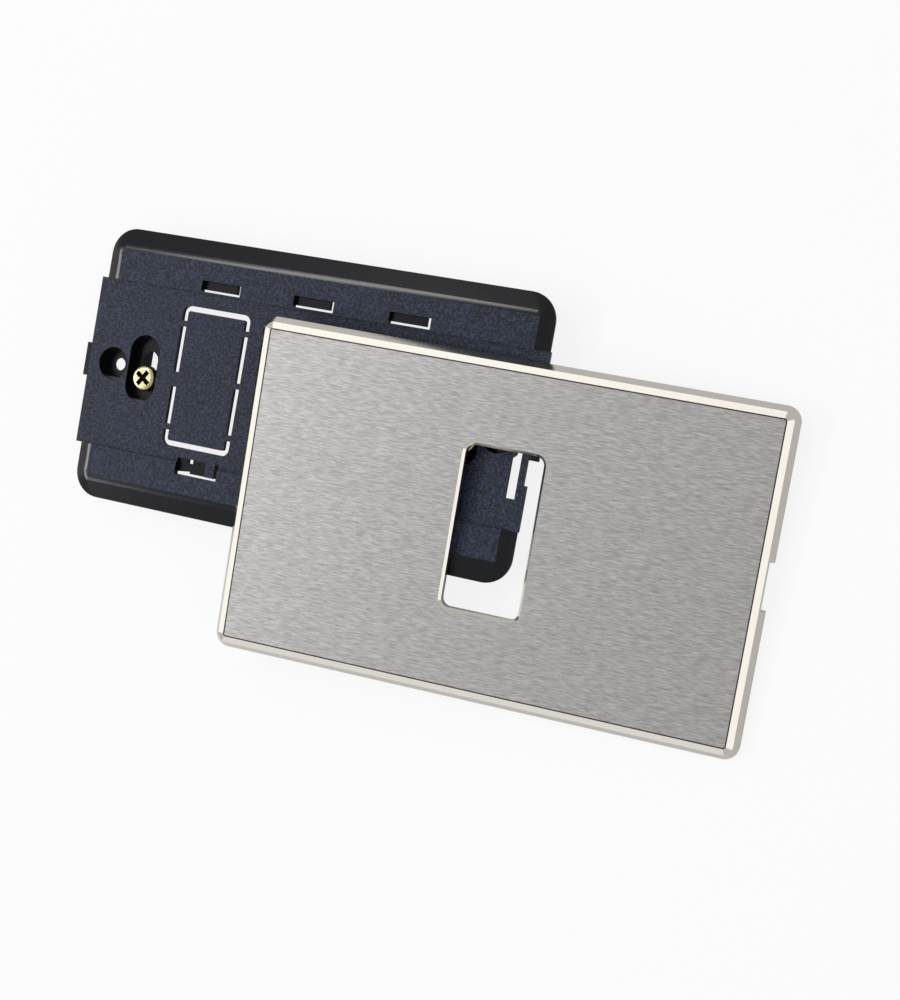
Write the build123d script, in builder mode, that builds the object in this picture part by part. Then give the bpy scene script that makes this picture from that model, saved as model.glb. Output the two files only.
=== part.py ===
from build123d import *
import os

os.makedirs("parts", exist_ok=True)

# A metal cover plate lies across the right end of its moulded mounting frame.
# The frame lies on its back, with its face up and its length along X.
# The origin is on the ground, in the middle of the box round both pieces.
# All lengths are in millimetres.

# Mounting frame: a flange that lies on the wall, and a skirt behind it that enters the wall box
left_end = 55.5
right_end = 58.2
frame_length = left_end + right_end
frame_middle = (right_end - left_end) / 2
frame_height = 65.6
frame_depth = 9.0
flange_depth = 1.8
flange_edge = 0.6
frame_corner = 6.4
long_lean = 4.5
end_lean = 2.2
lean_corner = 1.5
lean_rounding = 5.0
skirt_length = 92.0
skirt_height = 55.0
skirt_corner = 5.0
skirt_wall = 1.6
wall_plane = frame_depth - flange_depth
frame_x = -28.29
frame_y = 13.46
frame_plane = Plane(origin=(frame_x, frame_y, 0))

# Band across the middle of the frame's face, a little lower than the strips above and below it
band_height = 40.4
band_drop = 0.6
band_top = frame_depth - band_drop
left_tab_reach = 1.2
right_tab_reach = 0.3
tab_root = 52.0
left_tab_end = left_end + left_tab_reach
right_tab_end = right_end + right_tab_reach

# Lugs on the frame's ends, which the plate's catches snap behind
lug_width = 8.0
lug_drop = 0.1
lug_depth = 0.5
left_lug_reach = 1.2
right_lug_reach = 1.8

# Slot behind the right end, which makes the end a spring
spring_slot_width = 2.3
spring_slot_length = 26.4
spring_width = 2.2
spring_slot_x = right_tab_end - spring_width - spring_slot_width / 2
relief_depth = 0.8
relief_length = 5.8
relief_y = lug_width / 2 + relief_length / 2

# Screw slots, one at each end, and the round fixing holes beside them
screw_spacing = 83.5
recess_width = 8.0
recess_length = 16.2
recess_depth = 2.8
seat_height = band_top - recess_depth
seat_floor = 1.5
boss_wall = 1.4
slot_width = 4.4
slot_length = 9.0
hole_spacing = 100.0
hole_recess_radius = 3.9
hole_recess_depth = 3.2
hole_floor = 0.8
hole_radius = 1.5

# Knock-outs for three modules: each is cut round but for its bridges
module_pitch = 24.3
module_count = 3
knockout_width = 18.0
knockout_height = 33.6
knockout_corner = 1.8
side_cut = 1.4
end_cut = 1.25
bridge = 1.4
wide_bridge = 3.6
wide_bridge_y = -1.0
bridge_y = 12.4

# Hook pockets above and below each knock-out: a hook fills each but for a gap
hook_thickness = 1.4
hook_sink = 0.8
top_pocket_width = 10.3
top_pocket_height = 2.6
top_pocket_x = 0.2
top_pocket_y = 21.9
top_hook_gap = 0.55
top_hook_side_gap = 1.6
bottom_pocket_width = 11.2
bottom_pocket_height = 4.0
bottom_pocket_x = 1.6
bottom_pocket_y = -21.1
bottom_hook_gap = 0.55
bottom_hook_side_gap = 1.1
shoulder_width = 2.4
wedge_width = 3.4
wedge_height = 0.5
peep_width = 1.5
peep_height = 1.1
peep_x = -1.4

# Ribs on the back
rib_thickness = 1.0
rib_foot = 4.6
rib_length = 74.0
rib_y = 18.1
cross_rib_x = 12.0

# Screws
shank_radius = 1.6
tip_chamfer = 0.6
tip_height = 0.5
head_radius = 3.15
head_height = 2.1
head_rounding = 1.0
cross_length = 4.2
cross_width = 1.1
cross_depth = 1.5
cross_turn = 55.0
screw_y = -2.2

# Cover plate: a tray pressed from sheet, with a rim of two slopes and a window
plate_length = 123.0
plate_height = 77.4
plate_depth = 3.8
plate_corner = 3.4
sheet = 1.0
rim_width = 1.25
rim_drop = 2.0
bevel_width = 1.45
bevel_drop = 0.65
shoulder_corner = plate_corner - rim_width
face_corner = shoulder_corner - bevel_width
hollow_corner = plate_corner - sheet - rim_width
window_width = 18.0
window_height = 36.8
window_corner = 2.0
window_edge = 0.6
line_width = 0.3
line_depth = 0.15
collar_wall = 0.9
collar_depth = 2.6

# Catches inside the plate's short sides, and the notch for prising it off
catch_thickness = 0.5
left_catch_length = 10.0
left_catch_edge = 57.3
right_catch_length = 18.0
right_catch_edge = 59.4
notch_length = 10.6
notch_height = 2.6
notch_reach = 2.4
catch_bridge = 0.8

# Place of the plate on the frame: its lower right corner is on the ground, the left side of its
# window's collar is on the frame's lower edge and the foot of its top side is on the frame's right end
plate_x = 53.0
plate_y = -21.0
collar_lift = plate_depth - collar_depth
rest_gap = 0.03
corner_inset = plate_corner * (1 - 0.5**0.5)
corner_run = plate_length / 2 - corner_inset
corner_fall = -plate_height / 2 + corner_inset
edge_run = -window_width / 2
edge_fall = -frame_height / 2 + long_lean + lean_rounding / 10 - plate_y
end_run = right_tab_end - plate_x
end_fall = plate_height / 2 - sheet
edge_rise = frame_depth - collar_lift
end_rise = band_top

# Slopes of the plate along X and Y, from the three points that carry it
run_a = edge_run - corner_run
fall_a = edge_fall - corner_fall
run_b = end_run - corner_run
fall_b = end_fall - corner_fall
spread = run_a * fall_b - run_b * fall_a
slope_x = (edge_rise * fall_b - end_rise * fall_a) / spread
slope_y = (run_a * end_rise - run_b * edge_rise) / spread
plate_rise = rest_gap - slope_x * corner_run - slope_y * corner_fall
plate_plane = Plane(
    origin=(frame_x + plate_x, frame_y + plate_y, plate_rise),
    x_dir=(1, 0, slope_x),
    z_dir=(-slope_x, -slope_y, 1),
)


with BuildPart() as mounting_frame:
    # Flange with sloping edges, and the skirt behind it
    with BuildSketch(frame_plane.offset(wall_plane)):
        with Locations((frame_middle, 0)):
            RectangleRounded(frame_length, frame_height, frame_corner)
    extrude(amount=flange_edge)
    with BuildSketch(frame_plane.offset(wall_plane + flange_edge)):
        with Locations((frame_middle, 0)):
            RectangleRounded(frame_length, frame_height, frame_corner)
    with BuildSketch(frame_plane.offset(frame_depth)):
        with Locations((frame_middle, 0)):
            RectangleRounded(frame_length - 2 * end_lean, frame_height - 2 * long_lean, lean_corner)
    loft(ruled=True)
    fillet(mounting_frame.faces().sort_by(Axis.Z)[-1].edges(), lean_rounding)
    with BuildSketch(frame_plane):
        RectangleRounded(skirt_length, skirt_height, skirt_corner)
        RectangleRounded(
            skirt_length - 2 * skirt_wall,
            skirt_height - 2 * skirt_wall,
            skirt_corner - skirt_wall,
            mode=Mode.SUBTRACT,
        )
    extrude(amount=wall_plane + flange_edge)
    # Lower band with its two end tabs and their lugs
    with BuildSketch(frame_plane.offset(band_top)):
        Rectangle(2 * right_tab_end, band_height)
    extrude(amount=frame_depth, mode=Mode.SUBTRACT)
    with BuildSketch(frame_plane.offset(wall_plane)):
        with Locations((-(left_tab_end + tab_root) / 2, 0)):
            Rectangle(left_tab_end - tab_root, band_height)
        with Locations(((right_tab_end + tab_root) / 2, 0)):
            Rectangle(right_tab_end - tab_root, band_height)
    extrude(amount=band_top - wall_plane)
    with BuildSketch(frame_plane.offset(band_top - lug_drop - lug_depth)):
        with Locations((-left_tab_end - left_lug_reach / 2, 0)):
            Rectangle(left_lug_reach, lug_width)
        with Locations((right_tab_end + right_lug_reach / 2, 0)):
            Rectangle(right_lug_reach, lug_width)
    extrude(amount=lug_depth)
    # Bosses round the screw slots and under the round holes
    with BuildSketch(frame_plane.offset(seat_height - seat_floor)):
        with GridLocations(screw_spacing, 0, 2, 1):
            SlotOverall(recess_length + 2 * boss_wall, recess_width + 2 * boss_wall, rotation=90)
    extrude(amount=seat_floor + recess_depth)
    with BuildSketch(frame_plane.offset(band_top - hole_recess_depth - hole_floor)):
        with GridLocations(hole_spacing, 0, 2, 1):
            Circle(hole_recess_radius + boss_wall)
    extrude(amount=hole_recess_depth + hole_floor)
    # Ribs behind the face
    with BuildSketch(frame_plane.offset(rib_foot)):
        with GridLocations(0, 2 * rib_y, 1, 2):
            Rectangle(rib_length, rib_thickness)
        with GridLocations(2 * cross_rib_x, 0, 2, 1):
            Rectangle(rib_thickness, 2 * rib_y)
    extrude(amount=wall_plane + flange_edge - rib_foot)
    # Recesses, slots and holes
    with BuildSketch(frame_plane.offset(seat_height)):
        with GridLocations(screw_spacing, 0, 2, 1):
            SlotOverall(recess_length, recess_width, rotation=90)
    extrude(amount=frame_depth, mode=Mode.SUBTRACT)
    with BuildSketch(frame_plane.offset(band_top - hole_recess_depth)):
        with GridLocations(hole_spacing, 0, 2, 1):
            Circle(hole_recess_radius)
    extrude(amount=frame_depth, mode=Mode.SUBTRACT)
    with BuildSketch(frame_plane):
        with GridLocations(screw_spacing, 0, 2, 1):
            SlotOverall(slot_length, slot_width, rotation=90)
        with GridLocations(hole_spacing, 0, 2, 1):
            Circle(hole_radius)
    extrude(amount=frame_depth, mode=Mode.SUBTRACT)
    # Cuts round the knock-outs
    with BuildSketch(frame_plane):
        with GridLocations(module_pitch, 0, module_count, 1):
            RectangleRounded(knockout_width, knockout_height, knockout_corner)
            RectangleRounded(
                knockout_width - 2 * side_cut,
                knockout_height - 2 * end_cut,
                knockout_corner - end_cut,
                mode=Mode.SUBTRACT,
            )
            with GridLocations(knockout_width - side_cut, 2 * bridge_y, 2, 2):
                Rectangle(2 * side_cut, bridge, mode=Mode.SUBTRACT)
            with Locations((-knockout_width / 2, wide_bridge_y)):
                Rectangle(2 * side_cut, wide_bridge, mode=Mode.SUBTRACT)
            with Locations((knockout_width / 2, 0)):
                Rectangle(2 * side_cut, bridge, mode=Mode.SUBTRACT)
    extrude(amount=frame_depth, mode=Mode.SUBTRACT)
    # Hook pockets, then the hooks in them
    with BuildSketch(frame_plane):
        with GridLocations(module_pitch, 0, module_count, 1):
            with Locations((top_pocket_x, top_pocket_y)):
                Rectangle(top_pocket_width, top_pocket_height)
            with Locations((bottom_pocket_x, bottom_pocket_y)):
                Rectangle(bottom_pocket_width, bottom_pocket_height)
    extrude(amount=frame_depth, mode=Mode.SUBTRACT)
    with BuildSketch(frame_plane.offset(band_top - hook_sink - hook_thickness)):
        with GridLocations(module_pitch, 0, module_count, 1):
            with Locations((top_pocket_x - top_hook_side_gap, top_pocket_y + top_hook_gap)):
                Rectangle(top_pocket_width, top_pocket_height)
            with Locations((bottom_pocket_x - bottom_hook_side_gap, bottom_pocket_y + bottom_hook_gap)):
                Rectangle(bottom_pocket_width, bottom_pocket_height)
                with Locations((peep_x, bottom_pocket_height / 2 - bottom_hook_gap - peep_height / 2)):
                    Rectangle(peep_width, peep_height, mode=Mode.SUBTRACT)
                with Locations((-bottom_pocket_width / 2, -bottom_pocket_height / 2)):
                    Polygon(
                        (0, 0),
                        (wedge_width + bottom_hook_side_gap, 0),
                        (wedge_width + bottom_hook_side_gap, wedge_height),
                        align=None,
                        mode=Mode.SUBTRACT,
                    )
    extrude(amount=hook_thickness)
    # Shoulder of each lower hook, level with the band
    with BuildSketch(frame_plane.offset(band_top - hook_sink)):
        with GridLocations(module_pitch, 0, module_count, 1):
            with Locations((bottom_pocket_x - bottom_hook_side_gap, bottom_pocket_y + bottom_hook_gap)):
                with Locations(((bottom_pocket_width - shoulder_width) / 2, 0)):
                    Rectangle(shoulder_width, bottom_pocket_height)
    extrude(amount=hook_sink)
    # Spring slot with the reliefs of the right end
    with BuildSketch(frame_plane):
        with Locations((spring_slot_x, 0)):
            Rectangle(spring_slot_width, spring_slot_length)
        with Locations((right_tab_end, relief_y), (right_tab_end, -relief_y)):
            Rectangle(2 * relief_depth, relief_length)
    extrude(amount=frame_depth, mode=Mode.SUBTRACT)
mounting_frame.part.label = "mounting_frame"

with BuildPart() as screw_left:
    # Shank, head and cross recess
    with BuildSketch(frame_plane.offset(tip_height)):
        with Locations((-screw_spacing / 2, screw_y)):
            Circle(shank_radius)
    extrude(amount=seat_height - tip_height)
    chamfer(screw_left.faces().sort_by(Axis.Z)[0].edges(), tip_chamfer)
    with BuildSketch(frame_plane.offset(seat_height)):
        with Locations((-screw_spacing / 2, screw_y)):
            Circle(head_radius)
    extrude(amount=head_height)
    fillet(screw_left.faces().sort_by(Axis.Z)[-1].edges(), head_rounding)
    with BuildSketch(frame_plane.offset(seat_height + head_height - cross_depth)):
        with Locations((-screw_spacing / 2, screw_y)):
            Rectangle(cross_length, cross_width, rotation=cross_turn)
            Rectangle(cross_width, cross_length, rotation=cross_turn)
    extrude(amount=cross_depth, mode=Mode.SUBTRACT)
screw_left.part.label = "screw_left"

with BuildPart() as screw_right:
    add(screw_left.part.moved(Location((screw_spacing, 0, 0))))
screw_right.part.label = "screw_right"

with BuildPart() as cover_plate:
    # Straight foot, outer slope and bevel of the rim
    with BuildSketch(plate_plane):
        RectangleRounded(plate_length, plate_height, plate_corner)
    extrude(amount=plate_depth - bevel_drop - rim_drop)
    with BuildSketch(plate_plane.offset(plate_depth - bevel_drop - rim_drop)):
        RectangleRounded(plate_length, plate_height, plate_corner)
    with BuildSketch(plate_plane.offset(plate_depth - bevel_drop)):
        RectangleRounded(plate_length - 2 * rim_width, plate_height - 2 * rim_width, shoulder_corner)
    loft(ruled=True)
    with BuildSketch(plate_plane.offset(plate_depth - bevel_drop)):
        RectangleRounded(plate_length - 2 * rim_width, plate_height - 2 * rim_width, shoulder_corner)
    with BuildSketch(plate_plane.offset(plate_depth)):
        RectangleRounded(
            plate_length - 2 * (rim_width + bevel_width),
            plate_height - 2 * (rim_width + bevel_width),
            face_corner,
        )
    loft(ruled=True)
    # Hollow of the tray, which follows the rim
    with BuildSketch(plate_plane):
        RectangleRounded(plate_length - 2 * sheet, plate_height - 2 * sheet, plate_corner - sheet)
    extrude(amount=plate_depth - bevel_drop - rim_drop, mode=Mode.SUBTRACT)
    with BuildSketch(plate_plane.offset(plate_depth - bevel_drop - rim_drop)):
        RectangleRounded(plate_length - 2 * sheet, plate_height - 2 * sheet, plate_corner - sheet)
    with BuildSketch(plate_plane.offset(plate_depth - sheet)):
        RectangleRounded(
            plate_length - 2 * (sheet + rim_width),
            plate_height - 2 * (sheet + rim_width),
            hollow_corner,
        )
    loft(ruled=True, mode=Mode.SUBTRACT)
    # Window with its turned-in collar
    with BuildSketch(plate_plane.offset(plate_depth - collar_depth)):
        RectangleRounded(
            window_width + 2 * collar_wall,
            window_height + 2 * collar_wall,
            window_corner + collar_wall,
        )
    extrude(amount=collar_depth)
    with BuildSketch(plate_plane):
        RectangleRounded(window_width, window_height, window_corner)
    extrude(amount=plate_depth, mode=Mode.SUBTRACT)
    with BuildSketch(plate_plane.offset(plate_depth - window_edge)):
        RectangleRounded(window_width, window_height, window_corner)
    with BuildSketch(plate_plane.offset(plate_depth)):
        RectangleRounded(
            window_width + 2 * window_edge,
            window_height + 2 * window_edge,
            window_corner + window_edge,
        )
    loft(ruled=True, mode=Mode.SUBTRACT)
    # Fine line round the brushed face
    with BuildSketch(plate_plane.offset(plate_depth - line_depth)):
        RectangleRounded(
            plate_length - 2 * (rim_width + bevel_width),
            plate_height - 2 * (rim_width + bevel_width),
            face_corner,
        )
        RectangleRounded(
            plate_length - 2 * (rim_width + bevel_width + line_width),
            plate_height - 2 * (rim_width + bevel_width + line_width),
            face_corner - line_width,
            mode=Mode.SUBTRACT,
        )
    extrude(amount=line_depth, mode=Mode.SUBTRACT)
    # Prising notch in the right side, then the catches, of which the right one runs behind the notch
    with BuildSketch(plate_plane):
        with Locations((plate_length / 2, 0)):
            Rectangle(2 * notch_reach, notch_length)
    extrude(amount=notch_height, mode=Mode.SUBTRACT)
    with BuildSketch(plate_plane):
        with Locations((-(plate_length / 2 - sheet / 2 + left_catch_edge) / 2, 0)):
            Rectangle(plate_length / 2 - sheet / 2 - left_catch_edge, left_catch_length)
        with Locations(((plate_length / 2 - sheet / 2 + right_catch_edge) / 2, 0)):
            Rectangle(plate_length / 2 - sheet / 2 - right_catch_edge, right_catch_length)
        with Locations((plate_length / 2, 0)):
            Rectangle(
                plate_length - 2 * (right_catch_edge + catch_bridge),
                notch_length,
                mode=Mode.SUBTRACT,
            )
    extrude(amount=catch_thickness)
cover_plate.part.label = "cover_plate"

export_step(mounting_frame.part, "parts/mounting_frame.step")
export_step(screw_left.part, "parts/screw_left.step")
export_step(screw_right.part, "parts/screw_right.step")
export_step(cover_plate.part, "parts/cover_plate.step")
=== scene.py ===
import math

import bmesh
import bpy
from mathutils import Matrix, Vector

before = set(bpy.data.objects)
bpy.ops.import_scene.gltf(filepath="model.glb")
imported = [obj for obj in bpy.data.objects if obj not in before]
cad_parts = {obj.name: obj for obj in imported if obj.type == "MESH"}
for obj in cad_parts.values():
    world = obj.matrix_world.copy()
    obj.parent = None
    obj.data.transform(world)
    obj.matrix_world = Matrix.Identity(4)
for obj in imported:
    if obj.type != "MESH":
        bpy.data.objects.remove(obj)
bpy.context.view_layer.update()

MM = 0.001

# The photograph's height, in pixels
IMAGE_HEIGHT = 1000.0

# The camera looks down on the frame's face, from the right of straight above it and turned
CAMERA_AIM = Vector((0.01232, -0.00281, 0.006))
CAMERA_DISTANCE = 0.3883
CAMERA_TO_RIGHT = math.radians(19.95)
CAMERA_TO_TOP = math.radians(3.83)
CAMERA_ROLL = math.radians(10.20)
FOCAL_PIXELS = 1720.6
SENSOR = 36.0

# Floor: half its width, its gap under the part, and the share of glow to the eye and in metal
FLOOR_HALF = 3.0
FLOOR_GAP = 0.05 * MM
FLOOR_GLOW = 0.86
FLOOR_GLOW_IN_METAL = 0.10

# Strength of the even light from all round
EVEN_LIGHT = 0.68

# Lamps: place in metres, width and height in metres, power in watts
SOFT_BOXES = {
    "key_strip": ((-0.52, 0.40, 1.06), (0.45, 0.15), 2.2),
    "face_box": ((-0.87, -0.20, 0.86), (0.76, 0.2), 4.7),
    "front_box": ((-0.25, -1.03, 0.54), (1.0, 0.5), 0.4),
    "top_box": ((-0.18, 0.93, 0.82), (1.0, 0.30), 0.55),
    "left_box": ((-1.04, -0.06, 0.59), (0.6, 0.9), 0.9),
    "right_box": ((1.09, -0.16, 0.48), (0.9, 0.95), 1.35),
}

# How squarely a side of the plate looks out of its face, as a cosine: the face itself, and the rim's bevel
BRUSHED_FROM = 0.985
BRUSHED_FULLY = 0.995
BEVEL_FROM = 0.65

# How far below the plate's face the painted shade of its fine groove line begins
LINE_DEPTH = 0.05 * MM

# The moulding is pebbled where it looks straight up, as a cosine, and is higher than this; lower flat faces, the
# floors of its pockets and recesses, are left smooth and near black, partly as moulded and partly as painted
# shade in those hollows
FLAT_FROM = 0.9995
PEBBLED_FROM = 8.35 * MM

# Heights between which the painted shade, deep in the screws' cross and low on their heads, gives way to the
# bright plating
CROSS_FLOOR = 6.3 * MM
CROSS_TOP = 7.4 * MM

# Mix node sockets: factor, the two colours and the mixed colour
MIX_FACTOR = 0
MIX_A = 6
MIX_B = 7
MIX_RESULT = 2

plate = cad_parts["cover_plate"]
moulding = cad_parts["mounting_frame"]
screws = [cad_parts["screw_left"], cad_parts["screw_right"]]


def linear(hex_colour):
    """An sRGB hex colour as the linear colour that a shader socket takes."""
    channels = []
    for start in (1, 3, 5):
        value = int(hex_colour[start:start + 2], 16) / 255
        channels.append(value / 12.92 if value <= 0.04045 else ((value + 0.055) / 1.055) ** 2.4)
    return (*channels, 1.0)


def add_node(tree, kind, inputs=None, **settings):
    """Add a node with its settings. An input is a value, or another node's output to link."""
    made = tree.nodes.new(kind)
    for name, value in settings.items():
        setattr(made, name, value)
    for name, value in (inputs or {}).items():
        if isinstance(value, bpy.types.NodeSocket):
            tree.links.new(value, made.inputs[name])
        else:
            made.inputs[name].default_value = value
    return made


def calculate(tree, operation, first, second):
    """The result of a sum or comparison of two values."""
    return add_node(tree, "ShaderNodeMath", {0: first, 1: second}, operation=operation).outputs["Value"]


def dot_product(tree, first, second):
    """How far one vector goes along another."""
    return add_node(tree, "ShaderNodeVectorMath", {0: first, 1: second}, operation="DOT_PRODUCT").outputs["Value"]


def ramp(tree, value, low, high, start=0.0, end=1.0):
    """A value that goes from start to end while another goes from low to high."""
    return add_node(tree, "ShaderNodeMapRange", {
        "Value": value, "From Min": low, "From Max": high, "To Min": start, "To Max": end}).outputs["Result"]


def mix(tree, factor, first, second):
    """Two colours mixed: the first where the factor is 0, the second where it is 1."""
    return add_node(tree, "ShaderNodeMix", {
        MIX_FACTOR: factor, MIX_A: first, MIX_B: second}, data_type="RGBA").outputs[MIX_RESULT]


def noise(tree, place, scale, detail, roughness):
    """A cloudy pattern of values about a half."""
    return add_node(tree, "ShaderNodeTexNoise", {
        "Vector": place, "Scale": scale, "Detail": detail, "Roughness": roughness}).outputs["Fac"]


def height_of(tree, place):
    """How high a place is."""
    return add_node(tree, "ShaderNodeSeparateXYZ", {"Vector": place}).outputs["Z"]


def new_material(name):
    """A material with an empty node tree, and that tree."""
    material = bpy.data.materials.new(name)
    material.use_nodes = True
    material.node_tree.nodes.clear()
    return material, material.node_tree


def paint(piece, material):
    """Give a piece one material."""
    piece.data.materials.clear()
    piece.data.materials.append(material)


def face_plane(piece):
    """The way a sheet's upper side looks, and how far that plane is from the origin."""
    upper = [polygon for polygon in piece.data.polygons if polygon.normal.z > 0]
    largest = max(upper, key=lambda polygon: polygon.area)
    normal = largest.normal.copy()
    return normal, normal.dot(largest.center)


def brushed_steel():
    """Steel sheet, brushed along its length on the face and polished on its rim and window collar.

    The brushing is a satin grey with short streaks, with painted shade in the fine groove just below the face.
    The rim's bevel is as bright as what it reflects, and its outer slope is coloured greyer, a painted shade for
    the darker surroundings it reflects.
    """
    streak_length = 5.0 * MM
    # Real brush lines are about 0.05 mm apart: they are drawn wider, so that they show
    streak_width = 0.24 * MM
    scratch_depth = 0.03 * MM
    polished_roughness = 0.12
    brushed_roughness = 0.42
    material, tree = new_material("brushed_steel")
    outward, distance = face_plane(plate)
    geometry = add_node(tree, "ShaderNodeNewGeometry")
    facing = dot_product(tree, geometry.outputs["True Normal"], outward)
    on_face = ramp(tree, facing, BRUSHED_FROM, BRUSHED_FULLY)
    place = add_node(tree, "ShaderNodeTexCoord").outputs["Object"]
    stretch = add_node(tree, "ShaderNodeMapping", {
        "Vector": place, "Scale": (1 / streak_length, 1 / streak_width, 1 / streak_width)})
    streaks = noise(tree, stretch.outputs["Vector"], 1.0, 3.0, 0.6)
    brushed = mix(tree, ramp(tree, streaks, 0.34, 0.66), linear("#b2b0ad"), linear("#dfddda"))
    height = dot_product(tree, place, outward)
    # Painted shade: the fine groove round the face, just below its plane, is coloured dark brown
    in_painted_shade_line = calculate(tree, "LESS_THAN", height, distance - LINE_DEPTH)
    face = mix(tree, in_painted_shade_line, brushed, linear("#4f4843"))
    # Painted shade: the rim's outer slope is coloured greyer than its bevel, for the darker surroundings it
    # reflects
    on_bevel = calculate(tree, "GREATER_THAN", facing, BEVEL_FROM)
    bevel_and_shaded_slope = mix(tree, on_bevel, linear("#c9c5bb"), linear("#fbf5e9"))
    scratches = add_node(tree, "ShaderNodeBump", {"Height": streaks, "Strength": 0.10, "Distance": scratch_depth})
    steel = add_node(tree, "ShaderNodeBsdfPrincipled", {
        "Base Color": mix(tree, on_face, bevel_and_shaded_slope, face), "Metallic": 1.0,
        "Roughness": ramp(tree, on_face, 0.0, 1.0, polished_roughness, brushed_roughness),
        "Normal": scratches.outputs["Normal"]})
    add_node(tree, "ShaderNodeOutputMaterial", {"Surface": steel.outputs["BSDF"]})
    return material


def pebbled_plastic():
    """Black thermoplastic, moulded with a fine pebbled face and smooth sides.

    The pebbles' glints are painted into the colour as blue-grey specks.
    """
    pebble = 0.46 * MM
    pebble_height = 0.08 * MM
    smooth_roughness = 0.18
    pebbled_roughness = 0.62
    material, tree = new_material("pebbled_black_thermoplastic")
    geometry = add_node(tree, "ShaderNodeNewGeometry")
    facing = dot_product(tree, geometry.outputs["True Normal"], Vector((0, 0, 1)))
    flat = calculate(tree, "GREATER_THAN", facing, FLAT_FROM)
    place = add_node(tree, "ShaderNodeTexCoord").outputs["Object"]
    # Partly painted shade: flat faces below this height, in the pockets and recesses, get the plain near-black
    # colour
    high = calculate(tree, "GREATER_THAN", height_of(tree, place), PEBBLED_FROM)
    on_face = calculate(tree, "MULTIPLY", flat, high)
    grain = noise(tree, place, 1 / pebble, 2.0, 0.6)
    # Painted glints: the lighter blue-grey specks in the colour stand in for light caught by the pebbles
    pebbles_and_painted_glints = mix(tree, ramp(tree, grain, 0.42, 0.68), linear("#04050a"), linear("#323d5c"))
    pebbles = add_node(tree, "ShaderNodeBump", {
        "Height": calculate(tree, "MULTIPLY", grain, on_face), "Strength": 0.35, "Distance": pebble_height})
    plastic = add_node(tree, "ShaderNodeBsdfPrincipled", {
        "Base Color": mix(tree, on_face, linear("#05060a"), pebbles_and_painted_glints),
        "Roughness": ramp(tree, on_face, 0.0, 1.0, smooth_roughness, pebbled_roughness),
        "IOR": 1.5, "Specular IOR Level": 0.4, "Normal": pebbles.outputs["Normal"]})
    add_node(tree, "ShaderNodeOutputMaterial", {"Surface": plastic.outputs["BSDF"]})
    return material


def yellow_zinc():
    """Steel screw with yellow zinc plating: a bright, slightly uneven straw gold, with painted shade in dark
    brown deep in the cross and low on the head.
    """
    patch = 1.2 * MM
    material, tree = new_material("yellow_zinc_plated_steel")
    place = add_node(tree, "ShaderNodeTexCoord").outputs["Object"]
    plated = mix(tree, noise(tree, place, 1 / patch, 2.0, 0.5), linear("#c9b877"), linear("#efe8c8"))
    # Painted shade: the plating turns dark brown deep in the cross and low on the head
    clear_of_painted_shade = ramp(tree, height_of(tree, place), CROSS_FLOOR, CROSS_TOP)
    zinc = add_node(tree, "ShaderNodeBsdfPrincipled", {
        "Base Color": mix(tree, clear_of_painted_shade, linear("#1d180e"), plated), "Metallic": 1.0, "Roughness": 0.26})
    add_node(tree, "ShaderNodeOutputMaterial", {"Surface": zinc.outputs["BSDF"]})
    return material


def white_floor():
    """A plain white floor that looks white to the eye and a little so in the metal, and takes a soft shadow."""
    material, tree = new_material("white_floor")
    rays = add_node(tree, "ShaderNodeLightPath")
    to_eye = calculate(tree, "MULTIPLY", rays.outputs["Is Camera Ray"], FLOOR_GLOW)
    in_metal = calculate(tree, "MULTIPLY", rays.outputs["Is Glossy Ray"], FLOOR_GLOW_IN_METAL)
    white = add_node(tree, "ShaderNodeEmission", {"Color": linear("#ffffff"), "Strength": 1.0})
    paper = add_node(tree, "ShaderNodeBsdfDiffuse", {"Color": linear("#f2f2f2")})
    surface = add_node(tree, "ShaderNodeMixShader", {
        0: calculate(tree, "MAXIMUM", to_eye, in_metal), 1: paper.outputs["BSDF"], 2: white.outputs["Emission"]})
    add_node(tree, "ShaderNodeOutputMaterial", {"Surface": surface.outputs["Shader"]})
    return material


def lay_floor():
    """The floor that the part lies on."""
    mesh = bpy.data.meshes.new("floor")
    shape = bmesh.new()
    bmesh.ops.create_grid(shape, x_segments=1, y_segments=1, size=FLOOR_HALF)
    bmesh.ops.translate(shape, verts=shape.verts, vec=(0, 0, -FLOOR_GAP))
    shape.to_mesh(mesh)
    shape.free()
    floor = bpy.data.objects.new("floor", mesh)
    bpy.context.scene.collection.objects.link(floor)
    paint(floor, white_floor())


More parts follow.
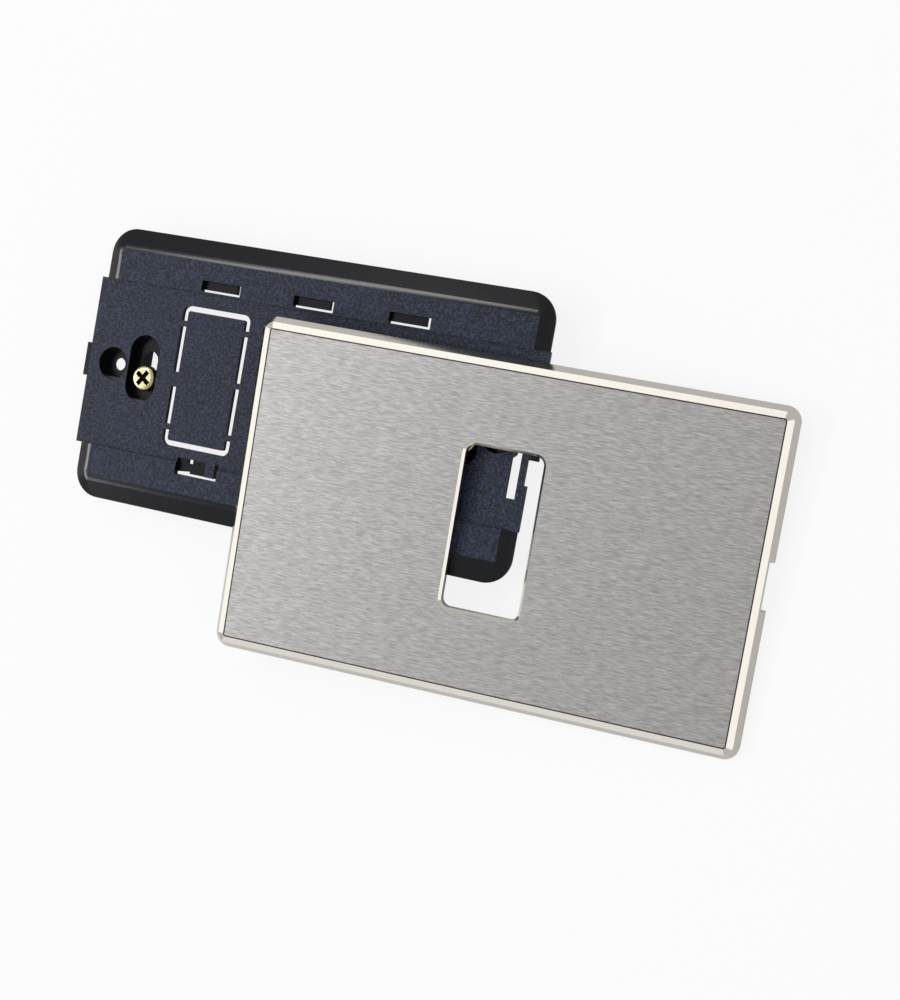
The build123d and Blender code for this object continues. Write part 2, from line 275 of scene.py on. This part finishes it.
def light_studio():
    """Even light from all round, a narrow key light, and soft boxes over the face and on the four sides."""
    world = bpy.data.worlds.new("studio")
    bpy.context.scene.world = world
    world.use_nodes = True
    tree = world.node_tree
    tree.nodes.clear()
    rays = add_node(tree, "ShaderNodeLightPath")
    even = add_node(tree, "ShaderNodeBackground", {"Color": linear("#d8d9dc"), "Strength": EVEN_LIGHT})
    white = add_node(tree, "ShaderNodeBackground", {"Color": linear("#ffffff"), "Strength": 1.0})
    sky = add_node(tree, "ShaderNodeMixShader", {
        0: rays.outputs["Is Camera Ray"], 1: even.outputs["Background"], 2: white.outputs["Background"]})
    add_node(tree, "ShaderNodeOutputWorld", {"Surface": sky.outputs["Shader"]})
    for name, (place, size, power) in SOFT_BOXES.items():
        lamp = bpy.data.lights.new(name, "AREA")
        lamp.shape = "RECTANGLE"
        lamp.size, lamp.size_y = size
        lamp.energy = power
        box = bpy.data.objects.new(name, lamp)
        box.location = place
        box.rotation_euler = (CAMERA_AIM - box.location).to_track_quat("-Z", "Y").to_euler()
        bpy.context.scene.collection.objects.link(box)


def place_camera():
    """The camera at the photograph's viewing angle."""
    toward = Vector((
        math.sin(CAMERA_TO_RIGHT) * math.cos(CAMERA_TO_TOP),
        math.sin(CAMERA_TO_TOP),
        math.cos(CAMERA_TO_RIGHT) * math.cos(CAMERA_TO_TOP),
    ))
    right = Vector((0, 1, 0)).cross(toward).normalized()
    up = toward.cross(right)
    level = Matrix((right, up, toward)).transposed()
    turned = Matrix.Rotation(CAMERA_ROLL, 3, toward) @ level
    data = bpy.data.cameras.new("camera")
    data.sensor_width = SENSOR
    data.lens = SENSOR * FOCAL_PIXELS / IMAGE_HEIGHT
    camera = bpy.data.objects.new("camera", data)
    camera.matrix_world = Matrix.Translation(CAMERA_AIM + CAMERA_DISTANCE * toward) @ turned.to_4x4()
    bpy.context.scene.collection.objects.link(camera)
    bpy.context.scene.camera = camera


paint(plate, brushed_steel())
paint(moulding, pebbled_plastic())
zinc = yellow_zinc()
for screw in screws:
    paint(screw, zinc)
lay_floor()
light_studio()
place_camera()
bpy.context.scene.view_settings.view_transform = "Standard"
